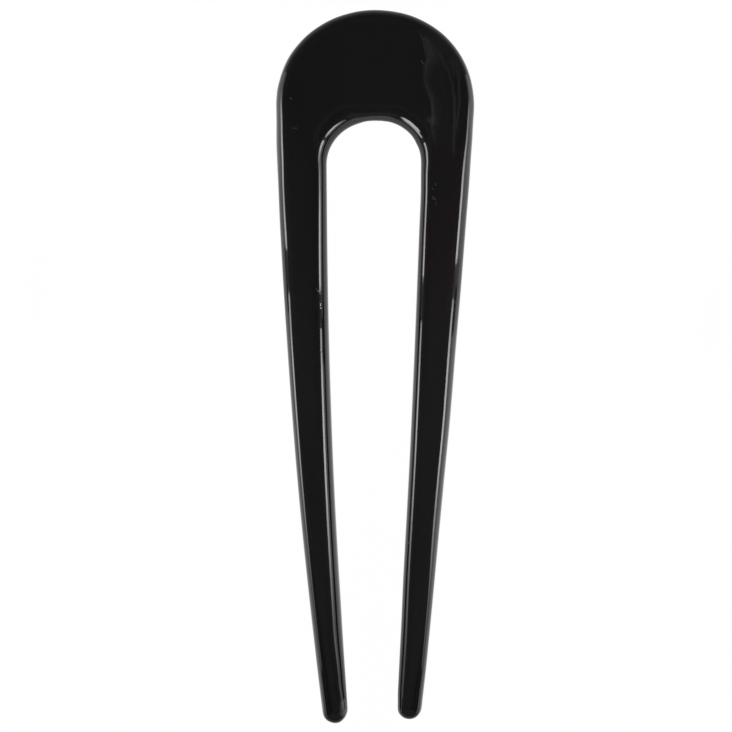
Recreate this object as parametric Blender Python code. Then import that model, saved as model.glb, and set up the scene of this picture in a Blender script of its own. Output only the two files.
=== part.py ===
"""Two pronged hairpin, one moulding of glossy black plastic.

The pin lies flat with its back face on the ground plane, its length along Y and the crown of its
head towards +Y. The outline is a chain of arcs that meet tangentially: the crown and shoulders of
the head, the long slightly bowed edges of each prong, the round tips, and the arch of the slot.
"""

import math

import bmesh
import bpy
from mathutils import Vector

MM = 0.001

# Overall sizes
LENGTH = 110.0 * MM
HEAD_WIDTH = 30.6 * MM
THICKNESS = 4.0 * MM

# Head: the crown is a little flatter than the shoulders, so the arch has three centres
BRIDGE_DEPTH = 17.05 * MM
CROWN_RADIUS_SHARE = 1.155
SHOULDER_RADIUS_SHARE = 0.963

# Slot between the prongs, whose arch has three centres too
SLOT_WIDTH = 14.68 * MM
SLOT_CROWN_RADIUS_SHARE = 1.218
SLOT_CORNER_RADIUS_SHARE = 0.907

# Prongs: each has its own lie, because the left one is drawn in more and reaches further
TIP_WIDTH = 3.84 * MM
LEFT_TIP_OFFSET = 4.84 * MM
LEFT_OUTER_EDGE_RADIUS = 959.0 * MM
LEFT_INNER_EDGE_RADIUS = 1103.0 * MM
RIGHT_TIP_OFFSET = 6.57 * MM
RIGHT_TIP_SETBACK = 0.8 * MM
RIGHT_OUTER_EDGE_RADIUS = 2965.0 * MM
RIGHT_INNER_EDGE_RADIUS = 3875.0 * MM

# Edges: rounded almost from face to face, with a narrow flat band left at mid thickness
EDGE_ROUND_SHARE = 0.95

# Facets along each arc, and across a quarter turn of the rounded edge
CROWN_STEPS = 5
SHOULDER_STEPS = 16
OUTER_EDGE_STEPS = 14
TIP_STEPS = 18
INNER_EDGE_STEPS = 12
SLOT_CORNER_STEPS = 10
SLOT_CROWN_STEPS = 5
EDGE_ROUND_STEPS = 5

WELD_DISTANCE = 0.001 * MM
SHARP_ANGLE = math.radians(35.0)
QUARTER_TURN = math.pi / 2
FULL_TURN = 2 * math.pi

NAME = "hairpin_body"
COLLECTION_NAME = "hairpin"
BLACK_PLASTIC = (0.0055, 0.0052, 0.0052, 1.0)
PLASTIC_ROUGHNESS = 0.12


def clear_scene():
    for obj in list(bpy.data.objects):
        bpy.data.objects.remove(obj, do_unlink=True)


def heading(start, end):
    """Angle of the line from one point to another."""
    run = end - start
    return math.atan2(run.y, run.x)


def arc(centre, radius, start, end, steps):
    """Points along an arc from one angle to another, leaving out its last, where the next begins."""
    points = []
    for step in range(steps):
        angle = start + (end - start) * step / steps
        points.append(centre + radius * Vector((math.cos(angle), math.sin(angle))))
    return points


def shoulder_centre(crown_centre, crown_radius, half_width, shoulder_radius):
    """Centre of the side arc that meets the crown smoothly and just reaches the half width."""
    across = half_width - shoulder_radius
    rise = math.sqrt((crown_radius - shoulder_radius) ** 2 - across**2)
    return crown_centre + Vector((across, rise))


def edge_centre(upper, upper_distance, lower, lower_distance):
    """Centre of a long prong edge, far on the slot's side, at set distances from two arc centres."""
    span = lower - upper
    along = (upper_distance**2 - lower_distance**2 + span.length_squared) / (2 * span.length)
    aside = math.sqrt(upper_distance**2 - along**2)
    direction = span.normalized()
    return upper + direction * along + Vector((direction.y, -direction.x)) * aside


def half_outline(tip_offset, tip_setback, outer_radius, inner_radius):
    """Half of the outline at +X, from the top of the crown round the prong to the top of the slot."""
    half_width = HEAD_WIDTH / 2
    half_slot = SLOT_WIDTH / 2
    tip_radius = TIP_WIDTH / 2
    crown_top = Vector((0.0, LENGTH / 2))
    slot_top = crown_top - Vector((0.0, BRIDGE_DEPTH))

    crown_radius = CROWN_RADIUS_SHARE * half_width
    shoulder_radius = SHOULDER_RADIUS_SHARE * half_width
    slot_crown_radius = SLOT_CROWN_RADIUS_SHARE * half_slot
    slot_corner_radius = SLOT_CORNER_RADIUS_SHARE * half_slot

    crown = crown_top - Vector((0.0, crown_radius))
    shoulder = shoulder_centre(crown, crown_radius, half_width, shoulder_radius)
    slot_crown = slot_top - Vector((0.0, slot_crown_radius))
    slot_corner = shoulder_centre(slot_crown, slot_crown_radius, half_slot, slot_corner_radius)
    tip = Vector((tip_offset, tip_radius + tip_setback - LENGTH / 2))
    outer = edge_centre(shoulder, outer_radius - shoulder_radius, tip, outer_radius - tip_radius)
    inner = edge_centre(slot_corner, inner_radius - slot_corner_radius, tip, inner_radius + tip_radius)

    crown_end = heading(crown, shoulder)
    outer_start = heading(outer, shoulder)
    outer_end = heading(outer, tip)
    tip_end = heading(tip, inner)
    if tip_end > outer_end:
        tip_end -= FULL_TURN
    inner_start = heading(inner, tip)
    inner_end = heading(inner, slot_corner)
    corner_end = heading(slot_crown, slot_corner)

    points = arc(crown, crown_radius, QUARTER_TURN, crown_end, CROWN_STEPS)
    points += arc(shoulder, shoulder_radius, crown_end, outer_start, SHOULDER_STEPS)
    points += arc(outer, outer_radius, outer_start, outer_end, OUTER_EDGE_STEPS)
    points += arc(tip, tip_radius, outer_end, tip_end, TIP_STEPS)
    points += arc(inner, inner_radius, inner_start, inner_end, INNER_EDGE_STEPS)
    points += arc(slot_corner, slot_corner_radius, inner_end, corner_end, SLOT_CORNER_STEPS)
    points += arc(slot_crown, slot_crown_radius, corner_end, QUARTER_TURN, SLOT_CROWN_STEPS)
    points.append(slot_top)
    return points


def pin_outline():
    """The whole outline, clockwise from the top of the crown."""
    right = half_outline(RIGHT_TIP_OFFSET, RIGHT_TIP_SETBACK, RIGHT_OUTER_EDGE_RADIUS, RIGHT_INNER_EDGE_RADIUS)
    left = half_outline(LEFT_TIP_OFFSET, 0.0, LEFT_OUTER_EDGE_RADIUS, LEFT_INNER_EDGE_RADIUS)
    mirrored = [Vector((-point.x, point.y)) for point in reversed(left[1:-1])]
    return right + mirrored


def outline_curve(points):
    """A flat filled curve along the points, as thick as the pin and rounded along both rims."""
    edge_radius = EDGE_ROUND_SHARE * min(THICKNESS, TIP_WIDTH) / 2
    curve = bpy.data.curves.new(NAME, "CURVE")
    curve.dimensions = "2D"
    curve.fill_mode = "BOTH"
    curve.extrude = THICKNESS / 2 - edge_radius
    curve.bevel_depth = edge_radius
    curve.bevel_resolution = EDGE_ROUND_STEPS - 1
    curve.offset = -edge_radius
    spline = curve.splines.new("POLY")
    spline.points.add(len(points) - 1)
    for vertex, point in zip(spline.points, points):
        vertex.co = (point.x, point.y, 0.0, 1.0)
    spline.use_cyclic_u = True
    return curve


def closed_mesh(curve, collection):
    """The curve's shape as one welded mesh, lifted so that the back face lies on the ground plane."""
    guide = bpy.data.objects.new(NAME + "_outline", curve)
    collection.objects.link(guide)
    bpy.context.view_layer.update()
    graph = bpy.context.evaluated_depsgraph_get()
    mesh = bpy.data.meshes.new_from_object(guide.evaluated_get(graph))
    bpy.data.objects.remove(guide, do_unlink=True)

    shape = bmesh.new()
    shape.from_mesh(mesh)
    bmesh.ops.remove_doubles(shape, verts=shape.verts, dist=WELD_DISTANCE)
    bmesh.ops.recalc_face_normals(shape, faces=shape.faces)
    bmesh.ops.translate(shape, verts=shape.verts, vec=(0.0, 0.0, THICKNESS / 2))
    shape.to_mesh(mesh)
    shape.free()
    mesh.name = NAME
    mesh.shade_smooth()
    mesh.set_sharp_from_angle(angle=SHARP_ANGLE)
    return mesh


def black_plastic():
    material = bpy.data.materials.new("gloss_black_plastic")
    material.use_nodes = True
    shader = material.node_tree.nodes["Principled BSDF"]
    shader.inputs["Base Color"].default_value = BLACK_PLASTIC
    shader.inputs["Roughness"].default_value = PLASTIC_ROUGHNESS
    shader.inputs["Metallic"].default_value = 0.0
    return material


def build_hairpin():
    clear_scene()
    collection = bpy.data.collections.new(COLLECTION_NAME)
    bpy.context.scene.collection.children.link(collection)
    mesh = closed_mesh(outline_curve(pin_outline()), collection)
    mesh.materials.append(black_plastic())
    body = bpy.data.objects.new(NAME, mesh)
    collection.objects.link(body)


build_hairpin()
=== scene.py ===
import math
import bpy
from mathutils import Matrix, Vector


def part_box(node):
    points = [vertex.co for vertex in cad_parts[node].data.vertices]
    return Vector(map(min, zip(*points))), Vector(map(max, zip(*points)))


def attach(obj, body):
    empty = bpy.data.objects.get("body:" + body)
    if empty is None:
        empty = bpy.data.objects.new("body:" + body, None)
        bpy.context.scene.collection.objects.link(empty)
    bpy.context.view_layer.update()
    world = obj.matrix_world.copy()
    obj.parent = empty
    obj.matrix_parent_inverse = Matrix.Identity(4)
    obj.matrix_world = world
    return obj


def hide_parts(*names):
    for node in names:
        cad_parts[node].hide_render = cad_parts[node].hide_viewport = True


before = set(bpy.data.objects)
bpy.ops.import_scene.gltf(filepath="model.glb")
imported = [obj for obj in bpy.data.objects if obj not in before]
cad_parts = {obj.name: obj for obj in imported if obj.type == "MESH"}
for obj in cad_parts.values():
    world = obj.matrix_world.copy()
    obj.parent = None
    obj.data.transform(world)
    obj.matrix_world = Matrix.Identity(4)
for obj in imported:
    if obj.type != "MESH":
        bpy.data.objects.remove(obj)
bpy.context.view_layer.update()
MM = 0.001


# The hairpin: one flat two pronged fork of black plastic, moulded in one piece and polished all over.
# Its front and back are flat, and its edges are rounded, wider along the slot than on the outside,
# so that every edge carries a line of light from the lamps.

pin_low, pin_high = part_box("hairpin_body")
pin_length = pin_high.y - pin_low.y
head_width = pin_high.x - pin_low.x
pin_thickness = pin_high.z - pin_low.z
crown_top = Vector(((pin_high.x + pin_low.x) / 2, pin_high.y))

BRIDGE_DEPTH = 17.05 * MM
CROWN_RADIUS = 1.155 * head_width / 2
SHOULDER_RADIUS = 0.963 * head_width / 2
SLOT_WIDTH = 14.68 * MM
SLOT_CROWN_RADIUS = 1.218 * SLOT_WIDTH / 2
SLOT_CORNER_RADIUS = 0.907 * SLOT_WIDTH / 2
TIP_WIDTH = 3.84 * MM
LEFT_TIP_OFFSET = 4.84 * MM
LEFT_OUTER_EDGE_RADIUS = 959.0 * MM
LEFT_INNER_EDGE_RADIUS = 1103.0 * MM
RIGHT_TIP_OFFSET = 6.57 * MM
RIGHT_TIP_SETBACK = 0.8 * MM
RIGHT_OUTER_EDGE_RADIUS = 2965.0 * MM
RIGHT_INNER_EDGE_RADIUS = 3875.0 * MM

# Steps along the head, a prong and a quarter of a tip; round an edge; across a face
HEAD_STEPS = 90
PRONG_STEPS = 240
TIP_STEPS = 24
EDGE_STEPS = 16
FACE_STEPS = 10

# The front's rounding along each edge: height on the pin, how far it reaches in from the edge, and
# how deep it goes for that reach
LEFT_OUTER_ROUNDING = (
    (-52.5 * MM, 1.74 * MM, 1.0),
    (-40.0 * MM, 1.60 * MM, 1.0),
    (-10.0 * MM, 1.68 * MM, 1.0),
    (2.0 * MM, 1.72 * MM, 1.0),
    (12.0 * MM, 1.86 * MM, 1.0),
    (20.0 * MM, 1.88 * MM, 1.0),
    (27.0 * MM, 1.74 * MM, 1.0),
    (33.0 * MM, 2.00 * MM, 1.0),
    (40.0 * MM, 1.80 * MM, 1.0),
    (47.0 * MM, 1.60 * MM, 1.0),
)
LEFT_INNER_ROUNDING = (
    (-52.5 * MM, 1.74 * MM, 1.0),
    (-48.0 * MM, 2.05 * MM, 1.15),
    (-40.0 * MM, 2.60 * MM, 1.16),
    (-20.0 * MM, 2.87 * MM, 1.02),
    (12.0 * MM, 2.82 * MM, 1.0),
    (29.5 * MM, 2.56 * MM, 1.0),
    (35.5 * MM, 3.32 * MM, 1.0),
)
RIGHT_OUTER_ROUNDING = (
    (-51.8 * MM, 1.74 * MM, 1.0),
    (-45.0 * MM, 1.50 * MM, 1.0),
    (-37.0 * MM, 1.54 * MM, 1.0),
    (-22.0 * MM, 2.06 * MM, 1.0),
    (9.0 * MM, 2.26 * MM, 1.0),
    (24.0 * MM, 2.18 * MM, 1.0),
    (29.0 * MM, 2.22 * MM, 1.0),
    (37.0 * MM, 1.74 * MM, 1.0),
    (47.0 * MM, 1.60 * MM, 1.0),
)
RIGHT_INNER_ROUNDING = (
    (-51.8 * MM, 1.74 * MM, 1.0),
    (-42.0 * MM, 2.08 * MM, 1.0),
    (12.0 * MM, 2.22 * MM, 1.0),
    (29.5 * MM, 2.24 * MM, 1.0),
    (32.0 * MM, 2.42 * MM, 1.0),
    (34.7 * MM, 2.80 * MM, 1.0),
    (36.4 * MM, 2.54 * MM, 1.0),
)
# How far each edge stands out from its plain arcs, at heights along the pin
LEFT_OUTER_STAND = (
    (-55.0 * MM, 0.0 * MM),
    (-54.3 * MM, 0.07 * MM),
    (-48.0 * MM, 0.07 * MM),
    (-41.0 * MM, 0.05 * MM),
    (-20.0 * MM, 0.10 * MM),
    (5.0 * MM, 0.05 * MM),
    (16.0 * MM, 0.07 * MM),
    (22.0 * MM, 0.10 * MM),
    (27.5 * MM, 0.08 * MM),
    (34.0 * MM, 0.15 * MM),
    (41.0 * MM, 0.10 * MM),
    (44.0 * MM, 0.0 * MM),
    (47.5 * MM, 0.05 * MM),
    (50.0 * MM, -0.01 * MM),
    (53.3 * MM, -0.09 * MM),
    (54.4 * MM, -0.10 * MM),
    (55.0 * MM, -0.04 * MM),
)
LEFT_INNER_STAND = (
    (-55.0 * MM, 0.0 * MM),
    (-54.4 * MM, -0.09 * MM),
    (-53.8 * MM, -0.09 * MM),
    (-52.5 * MM, 0.03 * MM),
    (-47.0 * MM, 0.05 * MM),
    (-37.0 * MM, 0.09 * MM),
    (-16.0 * MM, 0.04 * MM),
    (25.0 * MM, 0.03 * MM),
    (33.0 * MM, -0.01 * MM),
    (37.0 * MM, 0.03 * MM),
    (37.6 * MM, 0.05 * MM),
    (37.95 * MM, 0.0 * MM),
)
RIGHT_OUTER_STAND = (
    (-54.2 * MM, 0.03 * MM),
    (-53.0 * MM, -0.01 * MM),
    (-52.0 * MM, 0.03 * MM),
    (-46.0 * MM, 0.07 * MM),
    (-30.0 * MM, 0.045 * MM),
    (-19.0 * MM, 0.06 * MM),
    (-8.0 * MM, 0.145 * MM),
    (5.0 * MM, 0.08 * MM),
    (12.0 * MM, 0.10 * MM),
    (22.0 * MM, 0.08 * MM),
    (28.0 * MM, 0.11 * MM),
    (34.0 * MM, 0.07 * MM),
    (42.0 * MM, 0.0 * MM),
    (48.5 * MM, 0.11 * MM),
    (51.0 * MM, 0.10 * MM),
    (54.0 * MM, 0.01 * MM),
    (55.0 * MM, -0.04 * MM),
)
RIGHT_INNER_STAND = (
    (-54.2 * MM, 0.03 * MM),
    (-53.3 * MM, 0.0 * MM),
    (-52.4 * MM, -0.10 * MM),
    (-49.5 * MM, 0.0 * MM),
    (-42.0 * MM, 0.04 * MM),
    (-32.0 * MM, 0.12 * MM),
    (-12.0 * MM, 0.04 * MM),
    (20.0 * MM, 0.06 * MM),
    (26.0 * MM, 0.03 * MM),
    (31.3 * MM, 0.14 * MM),
    (34.2 * MM, -0.01 * MM),
    (35.8 * MM, -0.14 * MM),
    (37.4 * MM, -0.165 * MM),
    (37.65 * MM, -0.155 * MM),
    (37.88 * MM, -0.07 * MM),
    (37.95 * MM, -0.01 * MM),
)
# Nothing stands out at the sides of the pin's box, and all of it from this far inside
BOX_ROOM = 0.3 * MM
# The front's rounding at the top of the slot's arch, from its middle to its corners
ARCH_TOP_REACH = 2.25 * MM
ARCH_TOP_MIDDLE = -0.55 * MM
ARCH_TOP_HALF = 0.5 * MM
ARCH_CORNER_FROM_MIDDLE = 3.5 * MM
RIPPLE_DEPTH = 0.008 * MM
RIPPLE_SIZE = 14.0 * MM
RIPPLE_SEED = 3.0
WELD_DISTANCE = 0.0001 * MM
QUARTER_TURN = math.pi / 2


def heading(start, end):
    run = end - start
    return math.atan2(run.y, run.x)


def flank_centre(crown_centre, crown_radius, half_width, flank_radius):
    """Centre of the side arc that meets the crown smoothly and just reaches the half width."""
    across = half_width - flank_radius
    rise = math.sqrt((crown_radius - flank_radius) ** 2 - across**2)
    return crown_centre + Vector((across, rise))


def edge_centre(upper, upper_distance, lower, lower_distance):
    """Centre of a long prong edge, far on the slot's side, at set distances from two arc centres."""
    span = lower - upper
    along = (upper_distance**2 - lower_distance**2 + span.length_squared) / (2 * span.length)
    aside = math.sqrt(upper_distance**2 - along**2)
    direction = span.normalized()
    return upper + direction * along + Vector((direction.y, -direction.x)) * aside


def walk(arcs, steps):
    """Even steps along arcs that follow on, as pairs of a point and the way into the plastic."""
    lengths = [radius * abs(end - start) for centre, radius, start, end, side in arcs]
    spots = []
    for step in range(steps):
        left = sum(lengths) * step / steps
        which = 0
        while left > lengths[which]:
            left -= lengths[which]
            which += 1
        centre, radius, start, end, side = arcs[which]
        angle = start + (end - start) * left / lengths[which]
        spoke = Vector((math.cos(angle), math.sin(angle)))
        spots.append((centre + radius * spoke, -side * spoke))
    return spots


def smooth(value, low, high):
    share = min(1.0, max(0.0, (value - low) / (high - low)))
    return share * share * (3 - 2 * share)


def rounding_at(spot, knots):
    """Reach of the rounding at a spot, and its depth for that reach, eased between the knots."""
    reach, depth = knots[-1][1:]
    for (low, low_reach, low_depth), (high, high_reach, high_depth) in zip(knots, knots[1:]):
        if spot.y < high:
            share = smooth(spot.y, low, high)
            reach = low_reach + (high_reach - low_reach) * share
            depth = low_depth + (high_depth - low_depth) * share
            break
    return reach, depth


def stood_out(spot, way_in, knots):
    """The spot moved out by its edge's value in the knots, or less where the pin's box is near."""
    out = knots[-1][1] if spot.y > knots[0][0] else knots[0][1]
    for (low, low_out), (high, high_out) in zip(knots, knots[1:]):
        if low < spot.y <= high:
            out = low_out + (high_out - low_out) * smooth(spot.y, low, high)
    if out > 0:
        room = min(
            spot.x - pin_low.x, pin_high.x - spot.x, spot.y - pin_low.y, pin_high.y - spot.y
        )
        out *= smooth(room, 0.0, BOX_ROOM)
    return spot - way_in * out


def arch_reach(spot, reach):
    """A smaller reach at the top of the slot's arch than at its two corners."""
    from_middle = abs(spot.x - crown_top.x - ARCH_TOP_MIDDLE)
    to_corner = smooth(from_middle, ARCH_TOP_HALF, ARCH_CORNER_FROM_MIDDLE)
    return ARCH_TOP_REACH + (reach - ARCH_TOP_REACH) * to_corner


def half_pin(side, tip_offset, tip_setback, outer_radius, inner_radius, outer_edge, inner_edge):
    """One half, drawn at the right and put on its side: outer edge down to the tip, inner edge up.

    Each edge comes as its rounding and how far it stands out.
    """
    half_width = head_width / 2
    half_slot = SLOT_WIDTH / 2
    tip_radius = TIP_WIDTH / 2
    crown = crown_top - Vector((0.0, CROWN_RADIUS))
    shoulder = flank_centre(crown, CROWN_RADIUS, half_width, SHOULDER_RADIUS)
    slot_crown = crown_top - Vector((0.0, BRIDGE_DEPTH + SLOT_CROWN_RADIUS))
    slot_corner = flank_centre(slot_crown, SLOT_CROWN_RADIUS, half_slot, SLOT_CORNER_RADIUS)
    tip = Vector((crown_top.x + tip_offset, crown_top.y - pin_length + tip_radius + tip_setback))
    outer = edge_centre(shoulder, outer_radius - SHOULDER_RADIUS, tip, outer_radius - tip_radius)
    inner = edge_centre(slot_corner, inner_radius - SLOT_CORNER_RADIUS, tip, inner_radius + tip_radius)

    crown_end = heading(crown, shoulder)
    outer_start = heading(outer, shoulder)
    outer_end = heading(outer, tip)
    tip_end = heading(tip, inner)
    if tip_end > outer_end:
        tip_end -= 2 * math.pi
    tip_middle = (outer_end + tip_end) / 2
    inner_start = heading(inner, tip)
    inner_end = heading(inner, slot_corner)
    corner_end = heading(slot_crown, slot_corner)
    head_level = inner.y + inner_radius * math.sin(inner_end)
    head_angle = math.asin((head_level - outer.y) / outer_radius)

    head_edge = [
        (crown, CROWN_RADIUS, QUARTER_TURN, crown_end, 1),
        (shoulder, SHOULDER_RADIUS, crown_end, outer_start, 1),
        (outer, outer_radius, outer_start, head_angle, 1),
    ]
    arch_edge = [
        (slot_corner, SLOT_CORNER_RADIUS, inner_end, corner_end, -1),
        (slot_crown, SLOT_CROWN_RADIUS, corner_end, QUARTER_TURN, -1),
    ]
    outside = walk(head_edge, HEAD_STEPS)
    outside += walk([(outer, outer_radius, head_angle, outer_end, 1)], PRONG_STEPS)
    outside += walk([(tip, tip_radius, outer_end, tip_middle, 1)], TIP_STEPS)
    inside = walk([(tip, tip_radius, tip_middle, tip_end, 1)], TIP_STEPS)
    inside += walk([(inner, inner_radius, inner_start, inner_end, -1)], PRONG_STEPS)
    inside += walk(arch_edge, HEAD_STEPS)

    outside = finished_edge(outside, side, *outer_edge)
    inside = finished_edge(inside, side, *inner_edge)
    inside[-HEAD_STEPS:] = [
        (spot, way_in, arch_reach(spot, reach), depth)
        for spot, way_in, reach, depth in inside[-HEAD_STEPS:]
    ]
    return outside, inside


def finished_edge(spots, side, rounding, stand):
    """An edge's points on their side and stood out, each with its way in and its rounding there."""
    edge = []
    for spot, way_in in spots:
        spot, way_in = put_on_side(spot, way_in, side)
        spot = stood_out(spot, way_in, stand)
        edge.append((spot, way_in, *rounding_at(spot, rounding)))
    return edge


def put_on_side(spot, way_in, side):
    """A spot of the right half as it is, or mirrored about the pin's middle where the side is -1."""
    middle = crown_top.x
    return Vector((middle + side * (spot.x - middle), spot.y)), Vector((side * way_in.x, way_in.y))


right_outside, right_inside = half_pin(
    side=1,
    tip_offset=RIGHT_TIP_OFFSET,
    tip_setback=RIGHT_TIP_SETBACK,
    outer_radius=RIGHT_OUTER_EDGE_RADIUS,
    inner_radius=RIGHT_INNER_EDGE_RADIUS,
    outer_edge=(RIGHT_OUTER_ROUNDING, RIGHT_OUTER_STAND),
    inner_edge=(RIGHT_INNER_ROUNDING, RIGHT_INNER_STAND),
)
left_outside, left_inside = half_pin(
    side=-1,
    tip_offset=LEFT_TIP_OFFSET,
    tip_setback=0.0,
    outer_radius=LEFT_OUTER_EDGE_RADIUS,
    inner_radius=LEFT_INNER_EDGE_RADIUS,
    outer_edge=(LEFT_OUTER_ROUNDING, LEFT_OUTER_STAND),
    inner_edge=(LEFT_INNER_ROUNDING, LEFT_INNER_STAND),
)
slot_crown_top = crown_top - Vector((0.0, BRIDGE_DEPTH))
slot_top = [(slot_crown_top, Vector((0.0, 1.0)), arch_reach(slot_crown_top, right_inside[-1][2]), 1.0)]

# Clockwise from the end of the left tip, so that point k faces point 4n - k across the plastic
outline = left_inside[:1] + left_outside[:0:-1] + right_outside + right_inside
outline += slot_top + left_inside[:0:-1]

outline_mesh = bpy.data.meshes.new("pin_outline")
outline_mesh.from_pydata(
    [(spot.x, spot.y, 0.0) for spot, way_in, reach, depth in outline],
    [(k, (k + 1) % len(outline)) for k in range(len(outline))],
    [],
)
for label, kind, field, values in (
    ("inward", "FLOAT_VECTOR", "vector", [(*way_in, 0.0) for spot, way_in, reach, depth in outline]),
    ("reach", "FLOAT", "value", [reach for spot, way_in, reach, depth in outline]),
    ("depth", "FLOAT", "value", [reach * depth for spot, way_in, reach, depth in outline]),
):
    layer = outline_mesh.attributes.new(label, kind, "POINT")
    for item, value in zip(layer.data, values):
        setattr(item, field, value)


def add(tree, kind, settings=None, **inputs):
    """A new node with its settings, and its inputs set or linked by the names of their sockets."""
    made = tree.nodes.new(kind)
    for name, value in (settings or {}).items():
        setattr(made, name, value)
    for name, value in inputs.items():
        connect(tree, made, name.replace("_", " "), value)
    return made


def connect(tree, made, name, value):
    """Sets or links the first usable input of that name, or the one with that number."""
    if name.lstrip("i").isdigit():
        socket = made.inputs[int(name.lstrip("i"))]
    else:
        socket = next(s for s in made.inputs if s.name.lower() == name.lower() and s.enabled)
    if isinstance(value, bpy.types.NodeSocket):
        tree.links.new(value, socket)
    else:
        socket.default_value = value


def result(made):
    """The first output of a node that is in use."""
    return next(s for s in made.outputs if s.enabled)


def sums(tree, operation, first, second=0.0, third=0.0):
    made = add(tree, "ShaderNodeMath", {"operation": operation}, i0=first, i1=second, i2=third)
    return made.outputs[0]


def vector_sums(tree, operation, first, second=(0.0, 0.0, 0.0)):
    made = add(tree, "ShaderNodeVectorMath", {"operation": operation}, i0=first, i1=second)
    return made.outputs[0]


def scaled(tree, vector, by):
    made = add(tree, "ShaderNodeVectorMath", {"operation": "SCALE"}, i0=vector, i3=by)
    return made.outputs[0]


moulding = bpy.data.node_groups.new("moulded_pin", "GeometryNodeTree")
moulding_inputs = {}
for label, kind in (
    ("Geometry", "NodeSocketGeometry"),
    ("Pin Thickness", "NodeSocketFloat"),
    ("Points In A Face Row", "NodeSocketInt"),
    ("Face Rows", "NodeSocketInt"),
    ("Edge Steps", "NodeSocketInt"),
    ("Ripple Depth", "NodeSocketFloat"),
    ("Ripple Size", "NodeSocketFloat"),
    ("Ripple Seed", "NodeSocketFloat"),
    ("Plastic", "NodeSocketMaterial"),
):
    made = moulding.interface.new_socket(label, in_out="INPUT", socket_type=kind)
    moulding_inputs[label] = made.identifier
moulding.interface.new_socket("Geometry", in_out="OUTPUT", socket_type="NodeSocketGeometry")
given = moulding.nodes.new("NodeGroupInput").outputs
drawn = given["Geometry"]
thick = given["Pin Thickness"]


def sampled(value, kind, index):
    """A value of the drawn outline at the point with that number."""
    made = add(
        moulding,
        "GeometryNodeSampleIndex",
        {"data_type": kind},
        Geometry=drawn,
        Value=value,
        Index=index,
    )
    return result(made)


def named(label, kind):
    return result(add(moulding, "GeometryNodeInputNamedAttribute", {"data_type": kind}, Name=label))


def outline_spot(index):
    """Point, way in, reach and depth of the front's rounding and radius of the back's at a number."""
    spot = sampled(add(moulding, "GeometryNodeInputPosition").outputs[0], "FLOAT_VECTOR", index)
    way_in = sampled(named("inward", "FLOAT_VECTOR"), "FLOAT_VECTOR", index)
    reach = sampled(named("reach", "FLOAT"), "FLOAT", index)
    depth = sampled(named("depth", "FLOAT"), "FLOAT", index)
    back = sums(moulding, "MINIMUM", reach, sums(moulding, "SUBTRACT", thick, depth))
    return spot, way_in, reach, depth, back


def at_height(flat_spot, height):
    lift = add(moulding, "ShaderNodeCombineXYZ", None, Z=height).outputs[0]
    return vector_sums(moulding, "ADD", flat_spot, lift)


def placed(grid, position):
    made = add(moulding, "GeometryNodeSetPosition", None, Geometry=grid, Position=position)
    return made.outputs[0]


index = add(moulding, "GeometryNodeInputIndex").outputs[0]

# Rounded edge: a strip round the outline whose columns run from the back face to the front face
edge_steps = given["Edge Steps"]
outline_count = sums(moulding, "MULTIPLY", given["Face Rows"], 2.0)
edge_columns = sums(moulding, "MULTIPLY_ADD", edge_steps, 2.0, 2.0)
edge_rows = sums(moulding, "ADD", outline_count, 1.0)
strip = add(moulding, "GeometryNodeMeshGrid", None, Vertices_X=edge_rows, Vertices_Y=edge_columns)
row = sums(moulding, "FLOOR", sums(moulding, "DIVIDE", index, edge_columns))
column = sums(moulding, "SUBTRACT", index, sums(moulding, "MULTIPLY", row, edge_columns))
spot, way_in, reach, depth, back = outline_spot(sums(moulding, "MODULO", row, outline_count))
on_front = sums(moulding, "GREATER_THAN", column, sums(moulding, "ADD", edge_steps, 0.5))
back_turn = sums(moulding, "MULTIPLY", sums(moulding, "DIVIDE", column, edge_steps), QUARTER_TURN)
front_column = sums(moulding, "SUBTRACT", sums(moulding, "SUBTRACT", column, edge_steps), 1.0)
front_turn = sums(moulding, "DIVIDE", front_column, edge_steps)
front_turn = sums(moulding, "MULTIPLY", front_turn, QUARTER_TURN)


def one_minus(value):
    return sums(moulding, "SUBTRACT", 1.0, value)


back_inset = sums(moulding, "MULTIPLY", back, one_minus(sums(moulding, "SINE", back_turn)))
back_height = sums(moulding, "MULTIPLY", back, one_minus(sums(moulding, "COSINE", back_turn)))
front_inset = sums(moulding, "MULTIPLY", reach, one_minus(sums(moulding, "COSINE", front_turn)))
front_drop = sums(moulding, "MULTIPLY", depth, one_minus(sums(moulding, "SINE", front_turn)))
front_height = sums(moulding, "SUBTRACT", thick, front_drop)


def chosen(tree, share, low, high):
    """The low value where the share is 0 and the high value where it is 1."""
    return sums(tree, "MULTIPLY_ADD", share, sums(tree, "SUBTRACT", high, low), low)


inset = chosen(moulding, on_front, back_inset, front_inset)
height = chosen(moulding, on_front, back_height, front_height)
edge_spot = vector_sums(moulding, "ADD", spot, scaled(moulding, way_in, inset))
edge = placed(strip.outputs["Mesh"], at_height(edge_spot, height))
edge = add(moulding, "GeometryNodeFlipFaces", None, Mesh=edge).outputs[0]

# Front and back: rows run across from a point of the outer edge to its partner on the inner edge
face_columns = given["Points In A Face Row"]
face_rows = sums(moulding, "ADD", given["Face Rows"], 1.0)
sheet = add(moulding, "GeometryNodeMeshGrid", None, Vertices_X=face_rows, Vertices_Y=face_columns)
row = sums(moulding, "FLOOR", sums(moulding, "DIVIDE", index, face_columns))
column = sums(moulding, "SUBTRACT", index, sums(moulding, "MULTIPLY", row, face_columns))
partner = sums(moulding, "MODULO", sums(moulding, "SUBTRACT", outline_count, row), outline_count)
across = sums(moulding, "DIVIDE", column, sums(moulding, "SUBTRACT", face_columns, 1.0))
swing = sums(moulding, "COSINE", sums(moulding, "MULTIPLY", across, math.pi))
share = sums(moulding, "MULTIPLY_ADD", swing, -0.5, 0.5)
near_spot, near_in, near_reach, _, near_back = outline_spot(row)
far_spot, far_in, far_reach, _, far_back = outline_spot(partner)


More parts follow.
